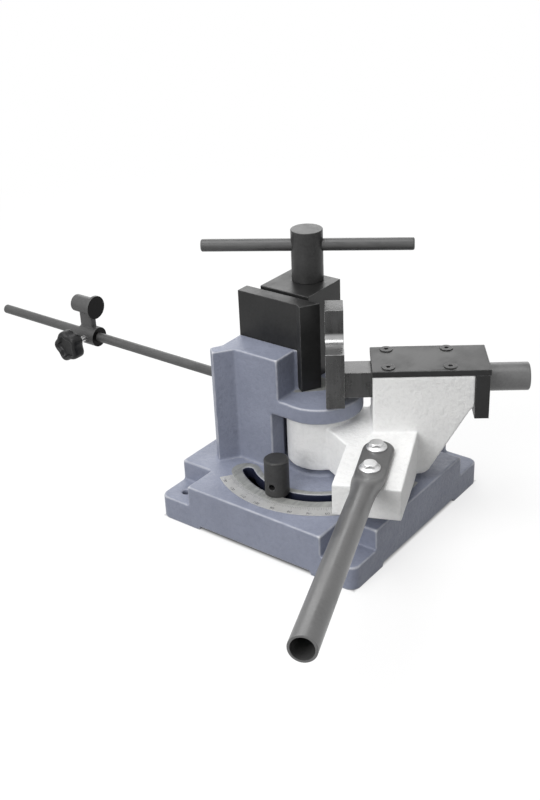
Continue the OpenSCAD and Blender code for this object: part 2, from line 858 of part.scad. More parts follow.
// The former seen along the guide: X to the front, Y up, with the hollow over its ledge
module former_profile() {
    front = guide_off + former_w / 2;
    back = front - former_w;
    step = back + former_top_w;
    difference() {
        union() {
            translate([back, former_low]) square([front - back, former_ledge - former_low]);
            translate([back, former_low])
                square([step - back + former_r, former_ledge + former_r - former_low]);
            translate([back, former_low]) square([former_top_w, former_top - former_low]);
        }
        translate([step + former_r, former_ledge + former_r]) circle(r = former_r);
    }
}

module former() {
    color("gray") difference() {
        on_arm() translate([former_from, 0, 0]) rotate([90, 0, 90]) linear_extrude(former_t)
            mirror([1, 0]) former_profile();
        at_former_screws() translate([0, 0, -csk_sink])
            csk_hole(m8_d, csk_m8_d, former_t + cut);
    }
}

module former_screws() {
    color("dimgray") at_former_screws() translate([0, 0, -csk_sink])
        csk_screw(m8_d, csk_m8_d, former_t + former_screw_in - csk_sink, csk_rim);
}

module adjusting_screw() {
    head_at = guide_to + end_t + slip;
    head_end = head_at + screw_head_l - chamfer;
    color("dimgray") on_arm() {
        rod_x(screw_d, screw_from, head_at + join, -guide_off, slide_z);
        rod_x(screw_head_d, head_at, head_end, -guide_off, slide_z);
        translate([head_end, -guide_off, slide_z]) rotate([0, 90, 0])
            cylinder(d1 = screw_head_d, d2 = screw_head_d - 2 * chamfer, h = chamfer);
    }
}

module screw_collar() {
    color("gray") on_arm() difference() {
        rod_x(screw_collar_d, guide_to - slip - screw_collar_t, guide_to - slip, -guide_off, slide_z);
        rod_x(screw_d + 2 * fit, guide_to - screw_collar_t - cut, guide_to + cut, -guide_off, slide_z);
    }
}

// The tube's flattened end, flat on the tongue, with two rounded corners at the back
module flat_end() {
    w = flat_w / 2;
    box([-w, flat_from, 0], [w, flat_l - flat_r, flat_t]);
    box([-w + flat_r, flat_from, 0], [w - flat_r, flat_l, flat_t]);
    for (x = [-w + flat_r, w - flat_r])
        translate([x, flat_l - flat_r, 0]) cylinder(r = flat_r, h = flat_t);
}

// Places its children at the start of the round tube, Z along the tube
module on_tube() {
    translate([tube_side, -tube_start, tube_up]) rotate([90 - lever_rise, 0, 0]) children();
}

module lever_tube() {
    color("dimgray") difference() {
        on_tongue() difference() {
            union() {
                flat_end();
                hull() {
                    box([-flat_w / 2, flat_from, 0], [flat_w / 2, flat_from + join, flat_t]);
                    on_tube() translate([0, 0, tube_crush_l])
                        cylinder(d = tube_d - tube_crush_in, h = join, $fn = 32);
                }
                on_tube() cylinder(d = tube_d, h = tube_l);
            }
            on_tube() translate([0, 0, tube_closed_l]) cylinder(d = tube_d - 2 * tube_wall, h = tube_l);
        }
        at_lever_bolts() translate([0, 0, -flat_t - cut])
            cylinder(d = m12_d + 2 * fit, h = flat_t + 2 * cut);
    }
}

module lever_bolts() {
    color("silver") at_lever_bolts() {
        translate([0, 0, -flat_t - tongue_t + bolt_short])
            cylinder(d = m12_d, h = flat_t + tongue_t - bolt_short);
        cylinder(d = bolt_flange_d, h = bolt_flange_t);
        translate([0, 0, bolt_flange_t]) cylinder(d1 = bolt_flange_d, d2 = bolt_cone_d, h = bolt_cone_h);
        intersection() {
            rotate([0, 0, bolt_turn]) cylinder(d = bolt_hex_d, h = bolt_head_h, $fn = 6);
            union() {
                cylinder(d = bolt_hex_d + slip, h = bolt_cone_top);
                translate([0, 0, bolt_cone_top])
                    cylinder(d1 = bolt_hex_d + slip, d2 = bolt_face_d, h = bolt_head_h - bolt_cone_top);
            }
        }
    }
}

module stop_pin() {
    foot = band_top + slip;
    color("dimgray") at_stop_pin() difference() {
        union() {
            translate([0, 0, foot]) cylinder(d = pin_d, h = pin_h - chamfer);
            translate([0, 0, foot + pin_h - chamfer])
                cylinder(d1 = pin_d, d2 = pin_d - 2 * chamfer, h = chamfer);
            translate([0, 0, deck_low - stop_nut_h - pin_thread_over])
                cylinder(d = pin_thread_d, h = foot - deck_low + stop_nut_h + pin_thread_over + join);
        }
        rotate([0, 0, pin_turn]) rod_y(pin_hole_d, -pin_d, pin_d, 0, foot + pin_hole_h);
    }
}

module stop_nut() {
    color("silver") at_stop_pin() difference() {
        box([-stop_nut_w / 2, -stop_nut_w / 2, deck_low - slip - stop_nut_h],
            [stop_nut_w / 2, stop_nut_w / 2, deck_low - slip]);
        translate([0, 0, deck_low - stop_nut_h - cut])
            cylinder(d = pin_thread_d + 2 * fit, h = stop_nut_h + 2 * cut);
    }
}

module stop_rod() {
    color("dimgray") {
        rod_x(rod_d, rod_end + chamfer, -tower_left + rod_in, rod_y, rod_z);
        translate([rod_end + chamfer, rod_y, rod_z]) rotate([0, -90, 0])
            cylinder(d1 = rod_d, d2 = rod_d - 2 * chamfer, h = chamfer);
    }
}

module rod_nut() {
    color("dimgray") difference() {
        translate([-tower_left - slip - rod_nut_t, rod_y, rod_z]) rotate([0, 90, 0])
            cylinder(d = rod_nut_d, h = rod_nut_t, $fn = 6);
        rod_x(rod_d + 2 * fit, -tower_left - rod_nut_t - cut, -tower_left + cut, rod_y, rod_z);
    }
}

module stop_holder() {
    neck_left = holder_x - collar_l + neck_in;
    top_z = rod_z + stop_rise;
    color("dimgray") difference() {
        union() {
            rod_x(collar_d, holder_x - collar_l, holder_x, rod_y, rod_z);
            rod_x(stop_body_d, holder_x - stop_l, holder_x, rod_y, top_z);
            rod_x(stop_face_d, holder_x - stop_face_t, holder_x, rod_y, top_z);
            box([neck_left, rod_y - neck_t / 2, rod_z], [neck_left + neck_w, rod_y + neck_t / 2, top_z]);
        }
        rod_x(rod_d + 2 * fit, holder_x - collar_l - cut, holder_x + cut, rod_y, rod_z);
        rod_y(m8_d + 2 * fit, rod_y - collar_d, rod_y, holder_mid, rod_z);
    }
}

module star_knob() {
    color("black") translate([holder_mid, knob_back, rod_z]) rotate([90, 0, 0]) difference() {
        union() {
            cylinder(d = knob_d, h = knob_t);
            translate([0, 0, -knob_boss_h]) cylinder(d = knob_boss_d, h = knob_boss_h + join);
        }
        for (i = [0 : 4])
            rotate([0, 0, 36 + i * 72]) translate([knob_d * knob_hollow_place_share, 0, -cut])
                cylinder(d = knob_d * knob_hollow_share, h = knob_t + 2 * cut);
        translate([0, 0, -knob_boss_h - cut])
            cylinder(d = m8_d + 2 * fit, h = knob_bore_l + knob_boss_h + cut);
        translate([0, 0, knob_t - knob_dish_t]) cylinder(d = knob_boss_d, h = knob_dish_t + cut);
    }
}

module knob_stud() {
    color("silver") rod_y(m8_d, knob_back - knob_stud_in, rod_y - rod_d / 2 - slip, holder_mid, rod_z);
}

base_casting();
scale_plate();
scale_rivets();
pivot_pin();
pivot_pin_screws();
thrust_washers();
fixed_jaw();
jaw_screws();
rod_nut();
stop_rod();
stop_holder();
star_knob();
knob_stud();
arm_casting();
hub_bushes();
guide_top_plate();
top_plate_screws();
guide_end_plate();
end_plate_screws();
lever_tube();
lever_bolts();
slide_bar();
former();
former_screws();
adjusting_screw();
screw_collar();
clamp_block();
clamp_shaft();
tommy_bar();
clamp_nut();
clamp_washer();
stop_nut();
stop_pin();
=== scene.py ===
"""Looks, light and camera for the universal metal bender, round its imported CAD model."""

import math

import bmesh
import bpy
from mathutils import Matrix, Vector

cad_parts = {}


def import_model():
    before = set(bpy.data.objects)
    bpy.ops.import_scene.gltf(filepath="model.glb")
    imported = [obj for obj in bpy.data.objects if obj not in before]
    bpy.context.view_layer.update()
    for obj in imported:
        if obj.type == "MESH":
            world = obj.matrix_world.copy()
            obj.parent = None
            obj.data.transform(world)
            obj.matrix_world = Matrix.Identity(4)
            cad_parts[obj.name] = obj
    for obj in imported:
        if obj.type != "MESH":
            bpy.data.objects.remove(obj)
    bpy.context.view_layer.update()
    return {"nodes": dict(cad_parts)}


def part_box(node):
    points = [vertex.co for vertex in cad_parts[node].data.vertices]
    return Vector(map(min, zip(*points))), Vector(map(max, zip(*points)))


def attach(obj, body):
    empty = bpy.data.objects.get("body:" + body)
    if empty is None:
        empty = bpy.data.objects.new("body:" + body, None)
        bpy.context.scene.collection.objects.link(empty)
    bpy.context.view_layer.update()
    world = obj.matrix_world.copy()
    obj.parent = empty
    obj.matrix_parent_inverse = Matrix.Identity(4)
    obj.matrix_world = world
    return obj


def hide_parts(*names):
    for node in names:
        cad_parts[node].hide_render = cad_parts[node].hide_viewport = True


MM = 0.001

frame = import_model()
nodes = frame["nodes"]

# Sizes and places that the pieces here share with the solids, in millimetres and degrees
ARM_ANGLE = 35
TONGUE_X, TONGUE_Y, TONGUE_TOP, TONGUE_ANGLE = 53.1, -182.8, 128, -101.8
FLAT_W, FLAT_T, FLAT_L, FLAT_R = 38.5, 8, 96, 17
TUBE_D, TUBE_WALL, TUBE_L = 28.5, 2.6, 320
TUBE_START, TUBE_UP, TUBE_SIDE, LEVER_RISE = 24, 12.5, 0.8, 6
FOOT_HALF, DECK_H, BAND_TOP = 150, 60, 61
BAND_IN, BAND_OUT = 82.5, 118.5
SLOT_IN, SLOT_OUT = 90.5, 104.5
SCALE_IN, SCALE_OUT = 119.1, 136.5
SCALE_FROM, SCALE_TO = -126.2, 7
SEAT_H = 161.5
HOLDER_X = -352
FORMER_LEDGE, FORMER_R = 235.5, 11.5
KNOB_D, KNOB_L, KNOB_BOSS_D, KNOB_BOSS_L = 44, 20, 17, 3


# Camera
PHOTO_W, PHOTO_H = 540, 800
FOCAL_PX = 1161.9
SENSOR = 36
CAMERA_AT = Vector((759.0, -1066.6, 829.9)) * MM
CAMERA_TO = Vector((-72.5, -9.9, 130.0)) * MM
ROLL = math.radians(-2.6)


def make_camera():
    data = bpy.data.cameras.new("camera")
    data.sensor_width = SENSOR
    data.lens = FOCAL_PX / max(PHOTO_W, PHOTO_H) * SENSOR
    data.clip_start, data.clip_end = 0.05, 100
    camera = bpy.data.objects.new("camera", data)
    bpy.context.scene.collection.objects.link(camera)
    forward = (CAMERA_TO - CAMERA_AT).normalized()
    right = forward.cross(Vector((0, 0, 1))).normalized()
    up = right.cross(forward)
    x = right * math.cos(ROLL) + up * math.sin(ROLL)
    y = -right * math.sin(ROLL) + up * math.cos(ROLL)
    camera.matrix_world = Matrix.Translation(CAMERA_AT) @ Matrix((x, y, -forward)).transposed().to_4x4()
    bpy.context.scene.camera = camera


make_camera()


# Node helpers
class Tree:
    """A node tree with short calls: all but add return an output socket."""

    def __init__(self, tree):
        self.tree = tree

    def add(self, kind, inputs=(), **settings):
        node = self.tree.nodes.new(kind)
        for key, value in settings.items():
            setattr(node, key, value)
        for key, value in dict(inputs).items():
            if isinstance(value, bpy.types.NodeSocket):
                self.tree.links.new(value, node.inputs[key])
            else:
                node.inputs[key].default_value = value
        return node

    def math(self, operation, a, b=0.0):
        return self.add("ShaderNodeMath", {0: a, 1: b}, operation=operation).outputs[0]

    def ramp(self, value, low, high, to_low=0.0, to_high=1.0):
        return self.add(
            "ShaderNodeMapRange",
            {"Value": value, "From Min": low, "From Max": high, "To Min": to_low, "To Max": to_high},
        ).outputs[0]

    def mix(self, factor, a, b):
        node = self.add("ShaderNodeMix", data_type="RGBA")
        for key, value in ((0, factor), (6, a), (7, b)):
            if isinstance(value, bpy.types.NodeSocket):
                self.tree.links.new(value, node.inputs[key])
            else:
                node.inputs[key].default_value = value
        return node.outputs[2]

    def background_ray(self):
        """1 for what the camera, a mirror or glass sees, 0 for the light that falls on the object."""
        path = self.add("ShaderNodeLightPath").outputs
        seen = self.math("MAXIMUM", path["Is Camera Ray"], path["Is Glossy Ray"])
        return self.math("MAXIMUM", seen, path["Is Transmission Ray"])


class Nodes(Tree):
    """A material's tree, with its shader and the place on the object in metres."""

    def __init__(self, name):
        self.material = bpy.data.materials.new(name)
        self.material.use_nodes = True
        super().__init__(self.material.node_tree)
        self.shader = self.tree.nodes["Principled BSDF"]
        self.place = self.tree.nodes.new("ShaderNodeTexCoord").outputs["Object"]

    def noise(self, scale, detail=2.0, rough=0.5, stretch=None):
        place = self.place
        if stretch:
            place = self.add("ShaderNodeMapping", {"Vector": place, "Scale": stretch}).outputs[0]
        inputs = {"Vector": place, "Scale": scale, "Detail": detail, "Roughness": rough}
        return self.add("ShaderNodeTexNoise", inputs).outputs[0]

    def facing(self, axis):
        """How far the surface looks along X, Y or Z, from -1 to 1."""
        normal = self.add("ShaderNodeNewGeometry").outputs["Normal"]
        return self.add("ShaderNodeSeparateXYZ", {0: normal}).outputs["XYZ".index(axis)]

    def along(self, axis):
        """The place on the object along X, Y or Z, in metres."""
        return self.add("ShaderNodeSeparateXYZ", {0: self.place}).outputs["XYZ".index(axis)]

    def between(self, value, low_mm, high_mm):
        """1 where a length lies between two bounds in millimetres."""
        above = self.math("GREATER_THAN", value, low_mm * MM)
        return self.math("MULTIPLY", above, self.math("LESS_THAN", value, high_mm * MM))

    def bump(self, height, distance, strength=1.0):
        inputs = {"Height": height, "Distance": distance, "Strength": strength}
        return self.add("ShaderNodeBump", inputs).outputs[0]

    def set(self, key, value):
        if isinstance(value, bpy.types.NodeSocket):
            self.tree.links.new(value, self.shader.inputs[key])
        else:
            self.shader.inputs[key].default_value = value


def grey(value):
    return (value, value, value, 1)


# Materials: noise scales per metre, and shares from 0 to 1
CLOUD_SCALE, MOTTLE_SCALE, FINE_SCALE, SHEEN_SCALE = 14, 140, 1100, 60
# Tone in the low pits of the skin: darker there
PIT_TONE = 0.62
# Painted highlight: a lighter tone on convex edges, found by pointiness
EDGE_HIGHLIGHT_TONE, EDGE_HIGHLIGHT_SHARE = 0.85, 0.5
EDGE_HIGHLIGHT_FROM, EDGE_HIGHLIGHT_TO = 0.515, 0.555


def painted_casting(name, colour, dark, skin_mm, skin_scale, rough, pit_darkening=0.0, bare=None):
    """Enamel over a rough casting: clouded tone, a pitted skin that is darker in its pits, and a painted
    highlight on convex edges.
    """
    n = Nodes(name)
    mottle = n.math("MULTIPLY", n.noise(MOTTLE_SCALE, 3, 0.7), 0.5)
    clouds = n.math("ADD", n.noise(CLOUD_SCALE, 3, 0.6), mottle)
    skin = n.noise(skin_scale, 4, 0.6)
    fine = n.noise(FINE_SCALE, 2, 0.5)
    tone = n.mix(n.ramp(clouds, 0.6, 0.9), dark, colour)
    # darker where the skin is low, in its pits
    tone = n.mix(n.ramp(skin, 0.5, 0.3, 0.0, pit_darkening), tone, [c * PIT_TONE for c in dark[:3]] + [1])
    # painted highlight: a lighter tone on convex edges
    ridge = n.add("ShaderNodeNewGeometry").outputs["Pointiness"]
    tone = n.mix(n.ramp(ridge, EDGE_HIGHLIGHT_FROM, EDGE_HIGHLIGHT_TO, 0.0, EDGE_HIGHLIGHT_SHARE), tone, grey(EDGE_HIGHLIGHT_TONE))
    height = n.math("ADD", skin, n.math("MULTIPLY", fine, 0.25))
    normal = n.bump(height, skin_mm * MM, 0.8)
    roughness = n.ramp(n.noise(SHEEN_SCALE, 4, 0.6), 0.3, 0.7, rough - 0.06, rough + 0.08)
    metallic = 0.0
    if bare:
        tone, metallic, roughness = bare(n, tone, roughness)
    n.set("Base Color", tone)
    n.set("Roughness", roughness)
    n.set("Metallic", metallic)
    n.set("Normal", normal)
    n.set("Specular IOR Level", 0.4)
    return n.material


# Machined faces and the painted shade on the slot walls are told by height and radius, with these bounds
# in millimetres,
BAND_BELOW, BAND_ABOVE, BAND_INWARD, BAND_OUTWARD = 0.45, 0.5, 18, 1
SEAT_BELOW, SEAT_ABOVE = 0.4, 0.5
SLOT_FLOOR, SLOT_TOP_BELOW, SLOT_MARGIN = 20, 0.6, 1.5
# and by how far they look up: from LEVEL on a flat, under STEEP a wall
LEVEL, STEEP = 0.8, 0.6
BARE_METALLIC, BARE_ROUGHER = 0.35, 0.06
MILLING_SCALE = 240
MILLED_DARK, MILLED_LIGHT = (0.22, 0.225, 0.22, 1), (0.35, 0.355, 0.34, 1)
# painted shade: near-black blue on the slot walls
SLOT_WALL_SHADE = (0.018, 0.022, 0.045, 1)


def machined_areas(n, tone, roughness):
    """Bare milled band round the slot, bare seat under the jaws, and painted shade on the walls inside the
    slot.
    """
    x, y, z = (n.along(axis) for axis in "XYZ")
    radius = n.math("SQRT", n.math("ADD", n.math("MULTIPLY", x, x), n.math("MULTIPLY", y, y)))
    up = n.facing("Z")
    band = n.math(
        "MULTIPLY",
        n.between(z, DECK_H + BAND_BELOW, BAND_TOP + BAND_ABOVE),
        n.between(radius, BAND_IN - BAND_INWARD, BAND_OUT + BAND_OUTWARD),
    )
    seat = n.between(z, SEAT_H - SEAT_BELOW, SEAT_H + SEAT_ABOVE)
    bare = n.math("MULTIPLY", n.math("GREATER_THAN", up, LEVEL), n.math("MAXIMUM", band, seat))
    # painted shade on the slot's walls, below the band's top
    wall = n.math(
        "MULTIPLY",
        n.between(z, SLOT_FLOOR, BAND_TOP - SLOT_TOP_BELOW),
        n.between(radius, SLOT_IN - SLOT_MARGIN, SLOT_OUT + SLOT_MARGIN),
    )
    wall = n.math("MULTIPLY", wall, n.math("LESS_THAN", up, STEEP))
    lines = n.noise(MILLING_SCALE, 4, 0.65, stretch=(1, 0.12, 1))
    metal = n.mix(n.ramp(lines, 0.3, 0.7), MILLED_DARK, MILLED_LIGHT)
    tone = n.mix(wall, tone, SLOT_WALL_SHADE)
    tone = n.mix(bare, tone, metal)
    rougher = n.math("ADD", roughness, n.math("MULTIPLY", bare, BARE_ROUGHER))
    return tone, n.math("MULTIPLY", bare, BARE_METALLIC), rougher


# Lighter steel edges: partly wear, partly painted highlight
EDGE_BAND_MM, WEAR_AND_HIGHLIGHT_TONE = 0.6, 0.6
# Agreement of face and rounded normal: at the first value the edge band begins, at the second it is full
EDGE_FROM, EDGE_TO = 0.985, 0.9


def worn_edges(n, width_mm):
    """1 on outer edges within a narrow width, 0 on flats: where a rounded normal leaves the face."""
    rounded = n.add("ShaderNodeBevel", {"Radius": width_mm * MM}, samples=4).outputs[0]
    face = n.add("ShaderNodeNewGeometry").outputs["Normal"]
    along = n.add("ShaderNodeVectorMath", {0: rounded, 1: face}, operation="DOT_PRODUCT").outputs["Value"]
    return n.ramp(along, EDGE_FROM, EDGE_TO)


BLOTCH_SCALE, GRINDING_SCALE, WEAR_SCALE = 22, 300, 180
BLOTCH_SHARE, LINE_SHARE, LINE_BUMP_MM = 0.5, 0.35, 0.05


def steel(name, dark, light, rough, metallic=0.9, grain=(1, 1, 1), wear_and_highlight=0.0, shine=0.5, painted_light=None):
    """Oxide-black, ground or plated steel: blotches, fine grinding lines and lighter edges, partly wear
    and partly painted highlight.
    """
    n = Nodes(name)
    blotches = n.ramp(n.noise(BLOTCH_SCALE, 5, 0.65), 0.35, 0.68)
    lines = n.noise(GRINDING_SCALE, 3, 0.6, stretch=grain)
    tone = n.mix(n.math("MULTIPLY", blotches, BLOTCH_SHARE), dark, light)
    tone = n.mix(n.ramp(lines, 0.35, 0.7, 0.0, LINE_SHARE), tone, light)
    # lighter edges: partly wear, partly painted highlight
    if wear_and_highlight:
        uneven = n.ramp(n.noise(WEAR_SCALE, 3, 0.6), 0.3, 0.6, 0.3, 1.0)
        worn_and_lit = n.math("MULTIPLY", worn_edges(n, EDGE_BAND_MM), uneven)
        tone = n.mix(n.math("MULTIPLY", worn_and_lit, wear_and_highlight), tone, grey(WEAR_AND_HIGHLIGHT_TONE))
    # painted light on one part: shade on the stop's face, highlight in the former's hollow
    if painted_light:
        tone = painted_light(n, tone)
    n.set("Base Color", tone)
    n.set("Metallic", metallic)
    n.set("Roughness", n.ramp(n.math("ADD", lines, blotches), 0.5, 1.4, rough - 0.06, rough + 0.1))
    n.set("Normal", n.bump(lines, LINE_BUMP_MM * MM, 0.5))
    n.set("Specular IOR Level", shine)
    return n.material


# Painted shade on the stop's flat face
STOP_FACE_BEHIND, STOP_FACE_SHADE_TONE = 0.5, 0.002
# Painted highlight in the former's hollow
HOLLOW_BELOW, HOLLOW_HIGHLIGHT_TONE = 0.2, 0.33


def black_stop_face(n, tone):
    """Painted shade: black on the stop's flat face, which looks along X."""
    in_front = n.math("GREATER_THAN", n.along("X"), (HOLDER_X - STOP_FACE_BEHIND) * MM)
    there = n.math("MULTIPLY", in_front, n.math("GREATER_THAN", n.facing("X"), 0.9))
    return n.mix(there, tone, grey(STOP_FACE_SHADE_TONE))


def bright_hollow(n, tone):
    """Painted highlight in the hollow over the former's ledge."""
    there = n.between(n.along("Z"), FORMER_LEDGE - HOLLOW_BELOW, FORMER_LEDGE + FORMER_R)
    there = n.math("MULTIPLY", there, n.ramp(n.facing("Z"), 0.1, 0.35))
    return n.mix(there, tone, grey(HOLLOW_HIGHLIGHT_TONE))


MOULDED_CLOUD_SCALE, MOULDED_SHEEN_SCALE, MOULDED_SKIN_SCALE = 40, 250, 900
MOULDED_SKIN_MM = 0.02


def plastic(name, colour, rough):
    """Moulded plastic or ink: a faint cloud of a lighter tone and a fine skin."""
    n = Nodes(name)
    lighter = [c * 1.5 for c in colour[:3]] + [1]
    n.set("Base Color", n.mix(n.ramp(n.noise(MOULDED_CLOUD_SCALE, 3), 0.3, 0.7), colour, lighter))
    n.set("Roughness", n.ramp(n.noise(MOULDED_SHEEN_SCALE, 2), 0.3, 0.7, rough - 0.04, rough + 0.08))
    n.set("Normal", n.bump(n.noise(MOULDED_SKIN_SCALE, 2), MOULDED_SKIN_MM * MM, 0.6))
    n.set("Specular IOR Level", 0.3)
    return n.material


blue = painted_casting(
    "blue_enamel", (0.25, 0.27, 0.345, 1), (0.215, 0.233, 0.3, 1), 1.0, 210, 0.42, 0.2, machined_areas
)
white = painted_casting("white_enamel", (0.9, 0.9, 0.89, 1), (0.85, 0.85, 0.845, 1), 1.4, 190, 0.5, 0.16)
black_oxide = steel("black_oxide", grey(0.035), grey(0.075), 0.4, 0.25, wear_and_highlight=0.5, shine=0.25)
worn_oxide = steel("worn_oxide", grey(0.07), grey(0.12), 0.4, 0.35, (0.2, 0.2, 1), wear_and_highlight=0.3, shine=0.35)
lever_oxide = steel("lever_oxide", grey(0.12), grey(0.19), 0.34, 0.5, shine=0.35)
holder_oxide = steel("holder_oxide", grey(0.08), grey(0.13), 0.4, 0.3, shine=0.22, painted_light=black_stop_face)
dark_plate = steel("dark_plate", grey(0.016), grey(0.034), 0.35, 0.15, (1, 0.15, 1), wear_and_highlight=0.45, shine=0.27)
ground = steel("ground_steel", grey(0.06), grey(0.12), 0.28, 0.9, (1, 1, 0.12), wear_and_highlight=1.0)
former_steel = steel(
    "former_steel", grey(0.06), grey(0.12), 0.28, 0.9, (1, 1, 0.12), wear_and_highlight=1.0, painted_light=bright_hollow
)
zinc = steel("zinc", grey(0.62), grey(0.82), 0.34, 1.0)
brushed = steel("scale_metal", (0.42, 0.42, 0.415, 1), (0.55, 0.55, 0.54, 1), 0.45, 0.35, (1, 0.3, 1))
bronze = steel("bronze", (0.35, 0.22, 0.09, 1), (0.5, 0.34, 0.15, 1), 0.35, 1.0)
moulded = plastic("black_plastic", (0.006, 0.006, 0.0065, 1), 0.36)
ink = plastic("ink", (0.03, 0.03, 0.035, 1), 0.5)

finish_of = {
    blue: ["base_casting"],
    white: ["arm_casting"],
    holder_oxide: ["stop_holder"],
    black_oxide: ["jaw_screws", "rod_nut", "top_plate_screws", "end_plate_screws",
                  "former_screws", "clamp_shaft", "stop_pin", "pivot_pin_screws"],
    worn_oxide: ["stop_rod", "tommy_bar"],
    dark_plate: ["fixed_jaw", "clamp_block", "guide_top_plate", "guide_end_plate"],
    lever_oxide: ["lever_tube", "adjusting_screw"],
    ground: ["pivot_pin", "slide_bar", "screw_collar"],
    former_steel: ["former"],
    zinc: ["knob_stud", "lever_bolts", "clamp_nut", "clamp_washer", "stop_nut", "scale_rivets"],
    brushed: ["scale_plate"],
    bronze: ["thrust_washers", "hub_bushes"],
    moulded: ["star_knob"],
}
for material, names in finish_of.items():
    for name in names:
        slots = nodes[name].data.materials
        slots.clear()
        slots.append(material)


# Rounded edges
JOINED_MM, FLAT_DEG = 0.005, 0.1


def soften(name, width_mm, segments=3, angle=28):
    """Rounds a solid's edges: joined corners, merged flat faces, then a narrow bevel."""
    o = nodes[name]
    weld = o.modifiers.new("weld", "WELD")
    weld.merge_threshold = JOINED_MM * MM
    flat = o.modifiers.new("flat", "DECIMATE")
    flat.decimate_type = "DISSOLVE"
    flat.angle_limit = math.radians(FLAT_DEG)
    bevel = o.modifiers.new("bevel", "BEVEL")
    bevel.width = width_mm * MM
    bevel.segments = segments
    bevel.limit_method = "ANGLE"
    bevel.angle_limit = math.radians(angle)
    bevel.use_clamp_overlap = False
    bevel.harden_normals = True
    normals = o.modifiers.new("normals", "WEIGHTED_NORMAL")
    normals.keep_sharp = True


edge_mm = {
    "fixed_jaw": 0.7, "clamp_block": 0.8, "guide_top_plate": 0.8, "guide_end_plate": 0.9, "former": 0.6,
    "slide_bar": 0.6, "clamp_shaft": 0.9, "adjusting_screw": 0.5, "stop_holder": 0.6,
    "lever_bolts": 0.5, "tommy_bar": 0.3, "stop_rod": 0.3, "rod_nut": 0.4, "stop_nut": 0.5,
    "clamp_nut": 0.5, "scale_plate": 0.15,
}
for name, width in edge_mm.items():
    soften(name, width)


def cast(name, voxel_mm, rounds, keep):
    """Gives a casting its moulded edges and fillets: fine even faces, evened out, then thinned."""
    o = nodes[name]
    remesh = o.modifiers.new("remesh", "REMESH")
    remesh.mode = "VOXEL"
    remesh.voxel_size = voxel_mm * MM
    remesh.use_smooth_shade = True
    smooth = o.modifiers.new("smooth", "SMOOTH")
    smooth.factor = 0.5
    smooth.iterations = rounds
    thin = o.modifiers.new("thin", "DECIMATE")
    thin.ratio = keep


cast("base_casting", 1.4, 7, 0.4)
cast("arm_casting", 1.3, 8, 0.6)
cast("stop_pin", 0.4, 2, 0.5)


# Pieces
def new_piece(name, body, material, bm, sharp_deg=35):
    mesh = bpy.data.meshes.new(name)
    bm.to_mesh(mesh)
    bm.free()
    mesh.shade_smooth()
    mesh.set_sharp_from_angle(angle=math.radians(sharp_deg))
    mesh.materials.append(material)
    o = bpy.data.objects.new(name, mesh)
    bpy.context.scene.collection.objects.link(o)
    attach(o, body)
    return o


def loft(bm, rings, closed_start, closed_end):
    """Skins rings of points, each with as many points as the others."""
    loops = [[bm.verts.new(point) for point in ring] for ring in rings]
    count = len(loops[0])
    for a, b in zip(loops, loops[1:]):
        for i in range(count):
            j = (i + 1) % count
            bm.faces.new((a[i], a[j], b[j], b[i]))
    if closed_start:
        bm.faces.new(loops[0][::-1])
    if closed_end:
        bm.faces.new(loops[-1])


def smooth_step(t):
    t = min(max(t, 0.0), 1.0)
    return t * t * (3 - 2 * t)


def tongue_frame():
    """From the middle of the tongue's front edge (X across, Y back, Z up) to the object's frame."""
    arm = Matrix.Rotation(math.radians(ARM_ANGLE), 4, "Z")
    at = Matrix.Translation(Vector((TONGUE_X, TONGUE_Y, TONGUE_TOP)) * MM)
    return arm @ at @ Matrix.Rotation(math.radians(TONGUE_ANGLE + 90), 4, "Z")


# Lever: one tube, its end pressed flat, so each section keeps the tube's girth
GIRTH = math.pi * TUBE_D
SECTION_POINTS = 48
CRUSH_FROM, CRUSH_TO = 24, -52
CRUSH_STEPS = 30
CORNER_STEPS = 8
LIFT_L = 44
ROUND_FROM = 44
BORE_L = 90
FLAT_EDGE = 1.2
TUBE_EDGE = 0.6


def stadium(width, height, centre, across, up):
    """A section with flat top and bottom and round sides, or a circle where width and height agree."""
    points = []
    for i in range(SECTION_POINTS):
        a = 2 * math.pi * (i + 0.5) / SECTION_POINTS
        side = math.copysign((width - height) / 2, math.cos(a))
        out = across * (side + height / 2 * math.cos(a))
        points.append((centre + out + up * (height / 2 * math.sin(a))) * MM)
    return points


